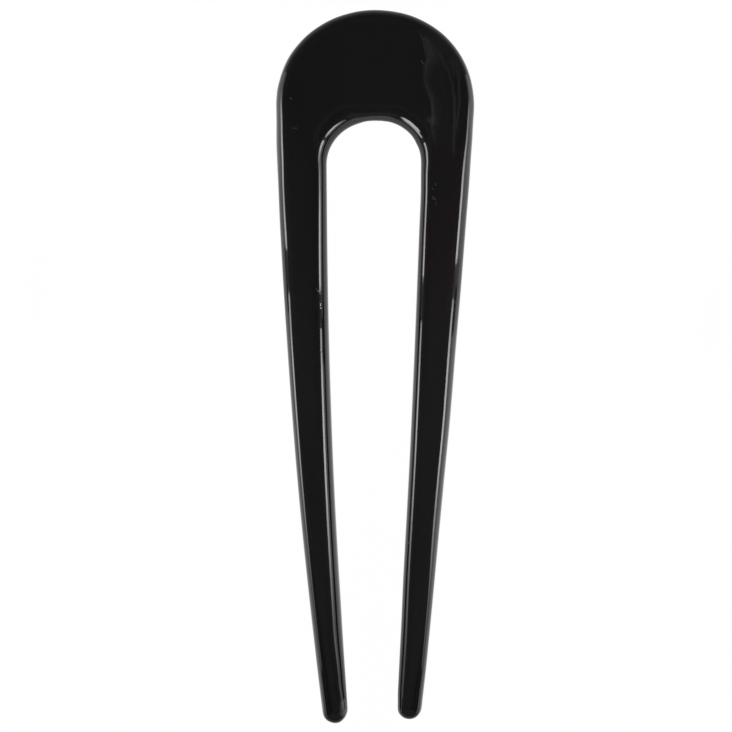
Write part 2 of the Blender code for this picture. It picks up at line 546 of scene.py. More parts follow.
def face_at(near_inset, far_inset, level):
    near = vector_sums(moulding, "ADD", near_spot, scaled(moulding, near_in, near_inset))
    far = vector_sums(moulding, "ADD", far_spot, scaled(moulding, far_in, far_inset))
    between = scaled(moulding, vector_sums(moulding, "SUBTRACT", far, near), share)
    flat = vector_sums(moulding, "ADD", near, between)
    return placed(sheet.outputs["Mesh"], at_height(flat, level))


front_face = add(
    moulding, "GeometryNodeFlipFaces", None, Mesh=face_at(near_reach, far_reach, thick)
).outputs[0]
back_face = face_at(near_back, far_back, 0.0)

# The three are sewn into one skin, which dips a few microns here and there as moulded plastic does
skin = moulding.nodes.new("GeometryNodeJoinGeometry")
for part in (edge, front_face, back_face):
    moulding.links.new(part, skin.inputs[0])
skin = add(
    moulding, "GeometryNodeMergeByDistance", None, Geometry=skin.outputs[0], Distance=WELD_DISTANCE
)
ripple = add(
    moulding,
    "ShaderNodeTexNoise",
    {"noise_dimensions": "4D"},
    W=given["Ripple Seed"],
    Scale=sums(moulding, "DIVIDE", 1.0, given["Ripple Size"]),
    Detail=1.0,
)
dip = sums(moulding, "MULTIPLY", ripple.outputs[0], given["Ripple Depth"])
dip = sums(moulding, "MULTIPLY", dip, -1.0)
offset = scaled(moulding, add(moulding, "GeometryNodeInputNormal").outputs[0], dip)
skin = add(moulding, "GeometryNodeSetPosition", None, Geometry=skin.outputs[0], Offset=offset)
skin = add(moulding, "GeometryNodeSetShadeSmooth", None, Geometry=skin.outputs[0])
skin = add(moulding, "GeometryNodeRealizeInstances", None, Geometry=skin.outputs[0])
skin = add(
    moulding,
    "GeometryNodeSetMaterial",
    None,
    Geometry=skin.outputs[0],
    Material=given["Plastic"],
)
moulding.links.new(skin.outputs[0], moulding.nodes.new("NodeGroupOutput").inputs[0])


def eased(tree, value, low, high, at_low=0.0, at_high=1.0):
    """A smooth step from one value to another as the given value runs from low to high."""
    made = add(
        tree,
        "ShaderNodeMapRange",
        {"interpolation_type": "SMOOTHSTEP"},
        Value=value,
        From_Min=low,
        From_Max=high,
        To_Min=at_low,
        To_Max=at_high,
    )
    return made.outputs[0]


def own_axes(tree):
    """Place along the object's own axes, as three outputs X, Y and Z."""
    place = tree.nodes.new("ShaderNodeTexCoord").outputs["Object"]
    return add(tree, "ShaderNodeSeparateXYZ", None, Vector=place).outputs


def graph(tree, value, points):
    """A smooth curve through points, each a value and its result."""
    start, end = points[0][0], points[-1][0]
    most = max(level for place, level in points)
    share = add(tree, "ShaderNodeMapRange", None, Value=value, From_Min=start, From_Max=end).outputs[0]
    made = tree.nodes.new("ShaderNodeFloatCurve")
    line = made.mapping.curves[0]
    for _ in points[2:]:
        line.points.new(0.5, 0.5)
    for spot, (place, level) in zip(line.points, points):
        spot.location = ((place - start) / (end - start), level / most)
        spot.handle_type = "AUTO_CLAMPED"
    made.mapping.update()
    tree.links.new(share, made.inputs["Value"])
    return sums(tree, "MULTIPLY", made.outputs[0], most)


# Polished black plastic: a little uneven in its black, warmer in the right prong, with soft smudges,
# stray hairlines, specks of dust, pale smears on the right of the head and nicks along the edges.
# Pale dots on the edges are painted glints, and one pale line on the front is a dent's painted
# highlight.
# Sizes and places without MM are in millimetres.

DEEP_BLACK = (0.0048, 0.0048, 0.0048)
SOFT_BLACK = (0.0061, 0.0061, 0.0061)
WARM_BLACK = (0.0076, 0.0054, 0.0061)
PLASTIC_IOR = 1.5
# Patches are drawn out along the pin, and take hold between two levels of their noise
DRAWN_OUT = (1.0, 0.25, 1.0)
CLOUD_SIZE = 9.0
CLOUD_LIMITS = (0.35, 0.65)
SMUDGE_SIZE = 6.0
SMUDGE_LIMITS = (0.3, 0.7)
WARM_PATCH_SIZE = 5.0
WARM_PATCH_LIMITS = (0.3, 0.6)
WARM_SIDE = (0.0, 4.0)
WARM_TOP = (35.0, 31.0)
WARM_BOTTOM = (4.0, 12.0)
POLISH_ROUGHNESS = 0.04
SMUDGE_ROUGHNESS = 0.085
HAIRLINE_ROUGHNESS = 0.2
DUST_ROUGHNESS = 0.6
WAVE_SIZE = 2.0
WAVE_HEIGHT = 0.009 * MM
GRAIN_SIZE = 0.4
GRAIN_HEIGHT = 0.0004 * MM
HAIRLINE_DEPTH = 0.0006 * MM
NICK_DEPTH = 0.012 * MM
DUST_SPACING = 3.2
DUST_RADIUS = 0.045
DUST_SHARE = 0.3
DUST_LIFT = 0.03
SCRATCH_PATCH_SIZE = 8.0
SCRATCH_PATCH_LIMITS = (0.5, 0.62)
FACE_FROM = (3.6, 3.9)
SMEAR_LIFT = 0.0085
SMEAR_FADE_IN = 1.5
SMEAR_FADE_OUT = 2.0
SMEAR_BREAK_SIZE = 1.3
SMEAR_BREAK_LIMITS = (0.3, 0.62)
SMEAR_BREAK_SHARE = 0.72
BLOT_SHARE = 0.5
DROP_SHARE = 0.65
HAZE_SHARE = 0.5
WORN_LIFT = 0.06

plastic = bpy.data.materials.new("polished_black_plastic")
plastic.use_nodes = True
surface = plastic.node_tree
surface.nodes.clear()
in_millimetres = scaled(surface, surface.nodes.new("ShaderNodeTexCoord").outputs["Object"], 1 / MM)
mm_x, mm_y, mm_z = add(surface, "ShaderNodeSeparateXYZ", None, Vector=in_millimetres).outputs


def product(*values):
    """Several values multiplied together in the plastic's tree."""
    so_far = values[0]
    for value in values[1:]:
        so_far = sums(surface, "MULTIPLY", so_far, value)
    return so_far


def total(values):
    so_far = values[0]
    for value in values[1:]:
        so_far = sums(surface, "ADD", so_far, value)
    return so_far


def mottle(place, size, detail=2.0):
    """Soft noise around a half, whose patches are about as wide as the size in millimetres."""
    made = add(surface, "ShaderNodeTexNoise", None, Vector=place, Scale=1 / size, Detail=detail)
    return made.outputs[0]


def blended(share, low, high):
    """A colour between two, by share."""
    made = add(surface, "ShaderNodeMix", {"data_type": "RGBA"}, Factor=share, A=low, B=high)
    return result(made)


def smear(points, left_width, right_width, soft_share=0.7):
    """Mask of a wavy smear down the face through points of x and y, with its own width each side."""
    middle = points[0][0]
    for (x, y), (next_x, next_y) in zip(points, points[1:]):
        middle = sums(surface, "ADD", eased(surface, mm_y, y, next_y, 0.0, next_x - x), middle)
    aside = sums(surface, "SUBTRACT", mm_x, middle)
    high, low = points[0][1], points[-1][1]
    fading_in = eased(surface, mm_y, high, high - SMEAR_FADE_IN)
    fading_out = eased(surface, mm_y, low, low + SMEAR_FADE_OUT)
    left = eased(surface, aside, -left_width, 0.0)
    right = eased(surface, aside, right_width, product(right_width, 1 - soft_share))
    return product(left, right, fading_in, fading_out)


def stroke(start, end, half_width):
    """Mask of a short scratch, speck or painted glint between two points, on the front if they have no
    height.
    """
    start = Vector((*start, pin_thickness / MM)[:3])
    end = Vector((*end, pin_thickness / MM)[:3])
    run = end - start
    from_start = vector_sums(surface, "SUBTRACT", in_millimetres, start)
    dot = add(surface, "ShaderNodeVectorMath", {"operation": "DOT_PRODUCT"}, i0=from_start, i1=run)
    share = add(
        surface,
        "ShaderNodeMath",
        {"operation": "DIVIDE", "use_clamp": True},
        i0=dot.outputs["Value"],
        i1=run.length_squared,
    )
    nearest = scaled(surface, run, share.outputs[0])
    gap = add(surface, "ShaderNodeVectorMath", {"operation": "DISTANCE"}, i0=from_start, i1=nearest)
    return eased(surface, gap.outputs["Value"], half_width, half_width / 3)


def hairlines(turn, length, spacing, width):
    """Mask of long thin scratches that run at an angle."""
    turned = add(surface, "ShaderNodeMapping", None, Vector=in_millimetres)
    turned.inputs["Rotation"].default_value = (0.0, 0.0, turn)
    turned.inputs["Scale"].default_value = (1 / spacing, 1 / length, 1.0)
    noise = mottle(turned.outputs[0], 1.0, 1.0)
    off_middle = sums(surface, "ABSOLUTE", sums(surface, "SUBTRACT", noise, 0.5))
    return eased(surface, off_middle, width, 0.0)


on_face = eased(surface, mm_z, *FACE_FROM)
lengthwise = vector_sums(surface, "MULTIPLY", in_millimetres, DRAWN_OUT)

# Black, and the warmer tone of the right prong
clouds = mottle(lengthwise, CLOUD_SIZE, detail=3.0)
tone = blended(eased(surface, clouds, *CLOUD_LIMITS), (*DEEP_BLACK, 1.0), (*SOFT_BLACK, 1.0))
warmth = product(
    eased(surface, mm_x, *WARM_SIDE),
    eased(surface, mm_y, *WARM_TOP),
    eased(surface, mm_y, *WARM_BOTTOM),
    eased(surface, mottle(in_millimetres, WARM_PATCH_SIZE), *WARM_PATCH_LIMITS),
)
tone = blended(warmth, tone, (*WARM_BLACK, 1.0))

# Pale smears and marks on the front. The widest has a bright core and a soft tail along one path, each
# with its own level along the pin
WIDE_PATH = (
    (6.45, 51.9),
    (7.35, 49.6),
    (7.83, 47.4),
    (7.48, 45.8),
    (7.48, 43.6),
    (8.05, 42.4),
    (8.62, 40.8),
    (8.78, 39.2),
    (8.70, 36.5),
    (9.05, 35.2),
    (9.30, 33.6),
)
CORE_LEVELS = (
    (33.6, 0.5),
    (36.4, 0.45),
    (38.2, 0.8),
    (41.0, 0.9),
    (42.6, 0.62),
    (46.4, 0.6),
    (48.0, 0.15),
    (51.9, 0.1),
)
TAIL_LEVELS = (
    (33.6, 0.3),
    (37.0, 0.42),
    (44.0, 0.42),
    (46.0, 0.6),
    (47.6, 0.98),
    (50.0, 1.0),
    (51.9, 0.9),
)
TAIL_WIDTHS = (
    (33.6, 0.7),
    (39.4, 1.6),
    (42.6, 1.4),
    (44.5, 2.0),
    (48.2, 2.3),
    (50.2, 1.6),
    (51.9, 0.3),
)
MIDDLE_PATH = (
    (8.9, 49.4),
    (10.1, 47.4),
    (11.2, 45.4),
    (11.8, 43.0),
    (12.15, 40.6),
    (12.1, 36.8),
    (12.1, 32.0),
)
OUTER_PATH = ((12.75, 45.4), (12.85, 41.0), (12.4, 35.5))
FAINT_PATH = ((7.2, 53.0), (8.3, 48.0), (8.3, 44.0), (9.6, 40.0), (10.0, 32.0))
# Heights between which these two smears change, and their level at each
MIDDLE_CHANGE = (43.5, 41.0, 0.7, 1.05)
FAINT_CHANGE = (46.0, 49.0, 0.13, 0.32)
tail_width = graph(surface, mm_y, TAIL_WIDTHS)
wide_core = smear(WIDE_PATH, left_width=0.3, right_width=0.6)
wide_tail = smear(WIDE_PATH, left_width=0.25, right_width=tail_width, soft_share=0.8)
middle_smear = smear(MIDDLE_PATH, left_width=0.3, right_width=0.4)
outer_smear = smear(OUTER_PATH, left_width=0.25, right_width=0.35)
faint_smear = smear(FAINT_PATH, left_width=0.4, right_width=5.5)
blot = stroke((8.7, 38.0), (9.0, 37.8), half_width=1.15)
drop = stroke((8.15, 37.95), (8.5, 37.85), half_width=0.6)
worn_patch = stroke((-3.65, -51.8, 3.3), (-3.7, -53.1, 3.3), half_width=0.9)
haze = stroke((11.9, 46.8), (12.5, 45.4), half_width=1.1)
break_noise = mottle(lengthwise, SMEAR_BREAK_SIZE, detail=3.0)
smear_breaks = eased(surface, break_noise, *SMEAR_BREAK_LIMITS, SMEAR_BREAK_SHARE, 1.0)
smears = total(
    (
        product(wide_core, graph(surface, mm_y, CORE_LEVELS)),
        product(wide_tail, graph(surface, mm_y, TAIL_LEVELS)),
        product(middle_smear, eased(surface, mm_y, *MIDDLE_CHANGE)),
        outer_smear,
        product(faint_smear, eased(surface, mm_y, *FAINT_CHANGE)),
        product(blot, BLOT_SHARE),
        product(drop, DROP_SHARE),
        product(haze, HAZE_SHARE),
    )
)
smears = product(smears, smear_breaks, on_face)

# Pale marks and painted glints: start, end, half width and lift. The second is a dent's painted
# highlight. The last six lie on the edges and have a height, and are painted glints standing in for
# highlights
PALE_MARKS_AND_PAINTED_GLINTS = (
    ((-13.03, 40.97), (-12.87, 40.97), 0.12, 0.045),
    ((-12.70, 36.45), (-11.90, 36.38), 0.12, 0.017),
    ((7.02, 47.0), (7.3, 46.5), 0.13, 0.024),
    ((9.42, 28.3), (9.46, 27.95), 0.13, 0.018),
    ((8.97, 27.42), (9.1, 27.38), 0.14, 0.026),
    ((9.02, 26.25), (9.0, 26.05), 0.14, 0.024),
    ((9.12, 25.85), (9.4, 25.9), 0.14, 0.04),
    ((9.52, 25.25), (9.56, 25.05), 0.13, 0.018),
    ((-7.92, 9.45, 3.5), (-7.9, 9.3, 3.5), 0.16, 0.35),
    ((-7.88, 9.0, 3.5), (-7.88, 8.9, 3.5), 0.14, 0.3),
    ((-8.75, 11.95, 3.9), (-8.3, 11.5, 3.7), 0.09, 0.06),
    ((7.36, 10.9, 3.5), (7.38, 10.75, 3.5), 0.14, 0.2),
    ((8.66, -45.25, 3.0), (8.64, -45.4, 3.0), 0.18, 0.15),
    ((8.43, -47.5, 3.0), (8.42, -47.65, 3.0), 0.14, 0.08),
)
# Small nicks along the edges, which break the lines of light: start, end and half width
NICKS = (
    ((-12.78, 13.6, 3.5), (-12.78, 13.4, 3.5), 0.16),
    ((-12.84, 12.2, 3.5), (-12.82, 12.0, 3.5), 0.16),
    ((-12.77, 11.5, 3.5), (-12.75, 11.1, 3.5), 0.12),
    ((-12.73, 10.8, 3.5), (-12.71, 10.5, 3.5), 0.12),
    ((-12.68, 10.1, 3.5), (-12.66, 9.8, 3.5), 0.12),
    ((-7.92, 9.5, 3.5), (-7.88, 9.0, 3.5), 0.2),
    ((-8.7, 11.9, 3.9), (-8.1, 11.4, 3.6), 0.1),
    ((-7.73, 2.4, 3.5), (-7.69, 2.25, 3.5), 0.2),
    ((12.81, 10.2, 3.4), (12.79, 9.9, 3.4), 0.15),
    ((12.58, 9.1, 3.4), (12.55, 8.8, 3.4), 0.15),
    ((12.36, 7.8, 3.4), (12.3, 7.3, 3.4), 0.13),
    ((12.2, 6.6, 3.4), (12.17, 6.3, 3.4), 0.13),
    ((6.25, -26.85, 3.4), (6.24, -27.05, 3.4), 0.18),
    ((8.66, -45.25, 3.0), (8.64, -45.4, 3.0), 0.2),
    ((8.43, -47.5, 3.0), (8.42, -47.65, 3.0), 0.18),
    ((-3.35, -51.2, 3.2), (-3.05, -51.75, 3.0), 0.2),
)
marks_and_painted_glints = total([product(stroke(*place), lift) for *place, lift in PALE_MARKS_AND_PAINTED_GLINTS])
nicks = total([stroke(*place) for place in NICKS])

# Dust: a few of the cells of a fine net hold a speck at their centre
net = add(surface, "ShaderNodeTexVoronoi", None, Vector=in_millimetres, Scale=1 / DUST_SPACING)
chance = add(surface, "ShaderNodeSeparateXYZ", None, Vector=net.outputs["Color"]).outputs["X"]
near_centre = eased(surface, net.outputs["Distance"], DUST_RADIUS / DUST_SPACING, 0.0)
dust = product(near_centre, sums(surface, "LESS_THAN", chance, DUST_SHARE))

along = hairlines(turn=0.2, length=26.0, spacing=0.9, width=0.004)
aslant = hairlines(turn=-1.1, length=30.0, spacing=1.3, width=0.003)
scratch_patches = eased(surface, mottle(in_millimetres, SCRATCH_PATCH_SIZE), *SCRATCH_PATCH_LIMITS)
scratches = product(sums(surface, "MAXIMUM", along, aslant), scratch_patches)

# Pale lift of the black: smears, marks, dust and the worn patch, with the painted glints and highlight
lift = total(
    (
        product(smears, SMEAR_LIFT),
        marks_and_painted_glints,
        product(dust, DUST_LIFT),
        product(worn_patch, WORN_LIFT),
    )
)
smudges = eased(surface, mottle(lengthwise, SMUDGE_SIZE, detail=4.0), *SMUDGE_LIMITS)
dullness = chosen(surface, smudges, POLISH_ROUGHNESS, SMUDGE_ROUGHNESS)
dullness = chosen(surface, scratches, dullness, HAIRLINE_ROUGHNESS)
dullness = chosen(surface, dust, dullness, DUST_ROUGHNESS)
height = total(
    (
        product(mottle(in_millimetres, WAVE_SIZE), WAVE_HEIGHT),
        product(mottle(in_millimetres, GRAIN_SIZE, 1.0), GRAIN_HEIGHT),
        product(scratches, -HAIRLINE_DEPTH),
        product(nicks, -NICK_DEPTH),
    )
)
unevenness = add(surface, "ShaderNodeBump", None, Height=height, Distance=1.0)

gloss = surface.nodes.new("ShaderNodeBsdfPrincipled")
gloss.inputs["IOR"].default_value = PLASTIC_IOR
pale_lift_and_painted_glints = add(surface, "ShaderNodeCombineXYZ", None, X=lift, Y=lift, Z=lift).outputs[0]
surface.links.new(vector_sums(surface, "ADD", tone, pale_lift_and_painted_glints), gloss.inputs["Base Color"])
surface.links.new(dullness, gloss.inputs["Roughness"])
surface.links.new(unevenness.outputs[0], gloss.inputs["Normal"])
surface.links.new(gloss.outputs[0], surface.nodes.new("ShaderNodeOutputMaterial").inputs[0])

drawing = bpy.data.objects.new("pin_drawing", outline_mesh)
bpy.context.scene.collection.objects.link(drawing)
modifier = drawing.modifiers.new("moulding", "NODES")
modifier.node_group = moulding
for label, value in (
    ("Pin Thickness", pin_thickness),
    ("Points In A Face Row", FACE_STEPS + 1),
    ("Face Rows", len(outline) // 2),
    ("Edge Steps", EDGE_STEPS),
    ("Ripple Depth", RIPPLE_DEPTH),
    ("Ripple Size", RIPPLE_SIZE),
    ("Ripple Seed", RIPPLE_SEED),
    ("Plastic", plastic),
):
    modifier[moulding_inputs[label]] = value
bpy.context.view_layer.update()
evaluated = drawing.evaluated_get(bpy.context.evaluated_depsgraph_get())
pin_mesh = bpy.data.meshes.new_from_object(evaluated)
pin_mesh.name = "hairpin"
bpy.data.objects.remove(drawing, do_unlink=True)
hairpin = bpy.data.objects.new("hairpin", pin_mesh)
bpy.context.scene.collection.objects.link(hairpin)
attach(hairpin, "root")
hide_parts("hairpin_body")


# Table top: a smooth matt white board under the pin. To the camera it is pure white apart from the
# pin's faint shadow. In the pin's polished edges it shows painted light instead of its own shading:
# white and brighter beside the pin, with painted shade past the ends and in the slot under the arch.

TABLE_SIZE = 6.0
TABLE_GAP = 0.02 * MM
TABLE_COLOUR = (0.88, 0.88, 0.88, 1.0)
SEEN_SHARE = 0.99
# Painted light levels seen in the pin's reflections, at heights along the pin: beside it, and in its
# slot, where painted shade deepens towards the arch
PAINTED_BESIDE_LEVELS = (
    (-75.0 * MM, 0.34),
    (-59.0 * MM, 0.38),
    (-55.0 * MM, 1.50),
    (-45.0 * MM, 1.60),
    (-20.0 * MM, 1.60),
    (0.0 * MM, 1.50),
    (13.0 * MM, 1.10),
    (28.0 * MM, 1.15),
    (36.0 * MM, 1.55),
    (50.0 * MM, 1.15),
    (58.0 * MM, 0.70),
    (75.0 * MM, 0.60),
)
PAINTED_SLOT_LEVELS = (
    (-75.0 * MM, 0.34),
    (-59.0 * MM, 0.42),
    (-55.0 * MM, 1.10),
    (-50.0 * MM, 0.78),
    (-45.0 * MM, 0.86),
    (-38.0 * MM, 1.00),
    (-20.0 * MM, 1.10),
    (0.0 * MM, 1.10),
    (14.0 * MM, 0.95),
    (24.0 * MM, 0.88),
    (29.0 * MM, 0.84),
    (34.0 * MM, 0.56),
    (40.0 * MM, 0.42),
)
# The painted light beside the pin grows by this gain far out to the sides
PAINTED_FAR_GAIN = 1.3
FAR_START = 16.0 * MM
FAR_END = 45.0 * MM
# The two levels part under the prongs, which draw together towards the tips
PRONGS_LOW = -53.0 * MM
PRONGS_HIGH = 30.0 * MM
LOW_HALF_SPREAD = 5.7 * MM
HIGH_HALF_SPREAD = 11.2 * MM
MIDDLE_OF_PRONGS = 0.5 * MM
PARTING_SOFTNESS = 1.0 * MM

half_table = TABLE_SIZE / 2
table_mesh = bpy.data.meshes.new("table_top")
table_mesh.from_pydata(
    [
        (-half_table, -half_table, -TABLE_GAP),
        (half_table, -half_table, -TABLE_GAP),
        (half_table, half_table, -TABLE_GAP),
        (-half_table, half_table, -TABLE_GAP),
    ],
    [],
    [(0, 1, 2, 3)],
)
table_top = bpy.data.objects.new("table_top", table_mesh)
bpy.context.scene.collection.objects.link(table_top)

board = bpy.data.materials.new("matt_white_board")
board.use_nodes = True
board_tree = board.node_tree
board_tree.nodes.clear()
matt = add(board_tree, "ShaderNodeBsdfDiffuse", None, Color=TABLE_COLOUR)
path = board_tree.nodes.new("ShaderNodeLightPath").outputs
table_x, table_y = own_axes(board_tree)[:2]
from_axis = sums(board_tree, "ABSOLUTE", sums(board_tree, "SUBTRACT", table_x, MIDDLE_OF_PRONGS))
spread = add(
    board_tree,
    "ShaderNodeMapRange",
    None,
    Value=table_y,
    From_Min=PRONGS_LOW,
    From_Max=PRONGS_HIGH,
    To_Min=LOW_HALF_SPREAD,
    To_Max=HIGH_HALF_SPREAD,
)
past_prongs = sums(board_tree, "SUBTRACT", from_axis, spread.outputs[0])
beside = eased(board_tree, past_prongs, -PARTING_SOFTNESS, PARTING_SOFTNESS)
past_crown = sums(board_tree, "GREATER_THAN", table_y, PAINTED_SLOT_LEVELS[-1][0])
out_of_slot = sums(board_tree, "MAXIMUM", beside, past_crown)
painted_beside_level = graph(board_tree, table_y, PAINTED_BESIDE_LEVELS)
painted_far_gain = eased(board_tree, from_axis, FAR_START, FAR_END, 1.0, PAINTED_FAR_GAIN)
painted_beside_level = sums(board_tree, "MULTIPLY", painted_beside_level, painted_far_gain)
painted_mirrored_level = chosen(board_tree, out_of_slot, graph(board_tree, table_y, PAINTED_SLOT_LEVELS), painted_beside_level)
level = chosen(board_tree, path["Is Glossy Ray"], 1.0, painted_mirrored_level)
white_or_painted_glow = add(board_tree, "ShaderNodeEmission", None, Strength=level)
seen_share = sums(board_tree, "MULTIPLY", path["Is Camera Ray"], SEEN_SHARE)
seen_share = sums(board_tree, "MAXIMUM", seen_share, path["Is Glossy Ray"])
both = add(
    board_tree,
    "ShaderNodeMixShader",
    None,
    i0=seen_share,
    i1=matt.outputs[0],
    i2=white_or_painted_glow.outputs[0],
)
board_tree.links.new(both.outputs[0], board_tree.nodes.new("ShaderNodeOutputMaterial").inputs[0])
table_mesh.materials.append(board)


# Lamps: a long bar of light with a dark joint stands low on each side of the pin, over a pale screen
# that reaches the table. An oval lamp off the lower left corner makes the glints in the slot's arch,
# and a wide one overhead lights the table and isn't mirrored.

JOINT_SOFTNESS = 0.8 * MM
JOINT_SHARE = 0.045
LAMP_LOW_END = -90.0 * MM
LAMP_HIGH_END = 62.0 * MM
LAMP_FROM_MIDDLE = 52.0 * MM
# Shares of each bar's and each screen's full level, at heights along the pin
LEFT_BAR_SHARES = (
    (-59.5 * MM, 0.0),
    (-58.0 * MM, 0.12),
    (-50.0 * MM, 0.16),
    (-44.0 * MM, 0.22),
    (-33.0 * MM, 0.38),
    (-22.0 * MM, 0.68),
    (-14.0 * MM, 0.84),
    (-5.0 * MM, 0.98),
    (2.0 * MM, 0.82),
    (8.0 * MM, 0.70),
    (20.0 * MM, 1.0),
    (27.0 * MM, 0.86),
    (34.0 * MM, 0.92),
    (43.0 * MM, 0.64),
    (52.0 * MM, 0.2),
    (62.0 * MM, 0.1),
)
RIGHT_BAR_SHARES = (
    (-57.5 * MM, 0.0),
    (-56.0 * MM, 0.13),
    (-50.0 * MM, 0.16),
    (-44.0 * MM, 0.22),
    (-33.0 * MM, 0.44),
    (-22.0 * MM, 0.8),
    (-10.0 * MM, 1.02),
    (0.0 * MM, 0.95),
    (8.0 * MM, 0.66),
    (20.0 * MM, 1.02),
    (26.0 * MM, 0.98),
    (33.0 * MM, 0.62),
    (43.0 * MM, 0.33),
    (50.0 * MM, 0.09),
    (62.0 * MM, 0.04),
)
SCREEN_SHARES = (
    (-90.0 * MM, 0.7),
    (-62.0 * MM, 1.05),
    (-46.0 * MM, 1.18),
    (-35.0 * MM, 1.08),
    (-20.0 * MM, 1.0),
    (34.0 * MM, 1.05),
    (44.0 * MM, 1.5),
    (62.0 * MM, 1.5),
)
# The screens fade upwards near the tips
SCREEN_FADE_LOW = 3.0 * MM
SCREEN_FADE_HIGH = 18.0 * MM
SCREEN_TOP_SHARE = 0.45
SCREEN_WHOLE_FROM = -28.0 * MM
SCREEN_FADED_FROM = -46.0 * MM
GAP_SOFTNESS = 1.0 * MM
GAP_HIGH = 10.5 * MM
GAP_GLOW = 0.12

LEFT_LAMP = {
    "place": -LAMP_FROM_MIDDLE,
    "bar_low": 14.0 * MM,
    "bar_high": 27.8 * MM,
    "joint_low": 10.1 * MM,
    "joint_high": 17.1 * MM,
    "gap_low": 7.0 * MM,
    "joint_glow": 0.3,
    "screen_glow": 1.2,
    "bar_radiance": 8.7,
    "bar_shares": LEFT_BAR_SHARES,
}
RIGHT_LAMP = {
    "place": LAMP_FROM_MIDDLE,
    "bar_low": 18.6 * MM,
    "bar_high": 33.4 * MM,
    "joint_low": 9.2 * MM,
    "joint_high": 15.35 * MM,
    "gap_low": 3.5 * MM,
    "joint_glow": 0.7,
    "screen_glow": 1.3,
    "bar_radiance": 9.2,
    "bar_shares": RIGHT_BAR_SHARES,
}

for side, sizes in (("left", LEFT_LAMP), ("right", RIGHT_LAMP)):
    x = sizes["place"]
    lamp_mesh = bpy.data.meshes.new(side + "_lamp")
    lamp_mesh.from_pydata(
        [
            (x, LAMP_LOW_END, 0.0),
            (x, LAMP_HIGH_END, 0.0),
            (x, LAMP_HIGH_END, sizes["bar_high"]),
            (x, LAMP_LOW_END, sizes["bar_high"]),
        ],
        [],
        [(0, 1, 2, 3)],
    )
    lamp = bpy.data.objects.new(side + "_lamp", lamp_mesh)
    bpy.context.scene.collection.objects.link(lamp)
    light = bpy.data.materials.new(side + "_lamp_light")
    light.use_nodes = True
    light_tree = light.node_tree
    light_tree.nodes.clear()
    _, y, z = own_axes(light_tree)
    joint_low, joint_high = sizes["joint_low"], sizes["joint_high"]
    above_joint = eased(light_tree, y, joint_high, joint_high + JOINT_SOFTNESS)
    below_joint = eased(light_tree, y, joint_low - JOINT_SOFTNESS, joint_low, 1.0, 0.0)
    lit = sums(light_tree, "ADD", above_joint, below_joint)
    bar_share = sums(light_tree, "MULTIPLY", graph(light_tree, y, sizes["bar_shares"]), lit)
    in_joint = sums(light_tree, "MULTIPLY", sums(light_tree, "SUBTRACT", 1.0, lit), JOINT_SHARE)
    bar_share = sums(light_tree, "ADD", bar_share, in_joint)
    bar_light = sums(light_tree, "MULTIPLY", bar_share, sizes["bar_radiance"])
    top_share = eased(light_tree, y, SCREEN_FADED_FROM, SCREEN_WHOLE_FROM, SCREEN_TOP_SHARE, 1.0)
    up_share = eased(light_tree, z, SCREEN_FADE_LOW, SCREEN_FADE_HIGH)
    screen_share = chosen(light_tree, up_share, 1.0, top_share)
    screen_share = sums(light_tree, "MULTIPLY", screen_share, graph(light_tree, y, SCREEN_SHARES))
    screen_light = sums(light_tree, "MULTIPLY", screen_share, sizes["screen_glow"])
    screen_light = chosen(light_tree, lit, sizes["joint_glow"], screen_light)
    above_gap = eased(light_tree, y, GAP_HIGH, GAP_HIGH + GAP_SOFTNESS)
    below_gap = eased(light_tree, y, sizes["gap_low"] - GAP_SOFTNESS, sizes["gap_low"], 1.0, 0.0)
    no_gap = sums(light_tree, "ADD", above_gap, below_gap)
    screen_light = chosen(light_tree, no_gap, GAP_GLOW, screen_light)
    on_bar = sums(light_tree, "GREATER_THAN", z, sizes["bar_low"])
    lamp_light = chosen(light_tree, on_bar, screen_light, bar_light)
    shine = add(light_tree, "ShaderNodeEmission", None, Strength=lamp_light)
    light_tree.links.new(shine.outputs[0], light_tree.nodes.new("ShaderNodeOutputMaterial").inputs[0])
    lamp_mesh.materials.append(light)
    lamp.visible_camera = False


def softbox(label, shape, place, target, width, height, radiance, spread=math.pi):
    """A soft lamp facing the target, seen from there at that radiance in reflections."""
    data = bpy.data.lights.new(label, "AREA")
    data.shape = shape
    data.size = width
    data.size_y = height
    data.spread = spread
    data.energy = radiance * math.pi * width * height
    if shape == "ELLIPSE":
        data.energy *= math.pi / 4
    if spread < math.pi:
        half_spread = spread / 2
        data.energy *= (math.tan(half_spread) - half_spread) / math.tan(half_spread)
    box = bpy.data.objects.new(label, data)
    box.location = place
    box.rotation_euler = (Vector(target) - Vector(place)).to_track_quat("-Z", "Y").to_euler()
    box.visible_camera = False
    bpy.context.scene.collection.objects.link(box)
    return box


softbox(
    "corner_lamp",
    "ELLIPSE",
    place=(-62.2 * MM, -41.8 * MM, 50.0 * MM),
    target=(4.4 * MM, 36.7 * MM, 3.5 * MM),
    width=45.0 * MM,
    height=46.0 * MM,
    radiance=11.6,
    spread=math.radians(56.0),
)
overhead_lamp = softbox(
    "overhead_lamp",
    "RECTANGLE",
    place=(0.0, 0.0, 600.0 * MM),
    target=(0.0, 0.0, 0.0),
    width=500.0 * MM,
    height=500.0 * MM,
    radiance=2.4,
)
overhead_lamp.visible_glossy = False


# End card: an upright sheet of pale card stands on edge a little below the tips, faintly lit. It is
# mirrored in the tips' rounded ends only, which it keeps from going fully black.

CARD_FROM_MIDDLE = -74.0 * MM
CARD_HALF_WIDTH = 34.0 * MM
CARD_BOTTOM = 10.0 * MM
CARD_TOP = 75.0 * MM
CARD_LEVEL = 0.19

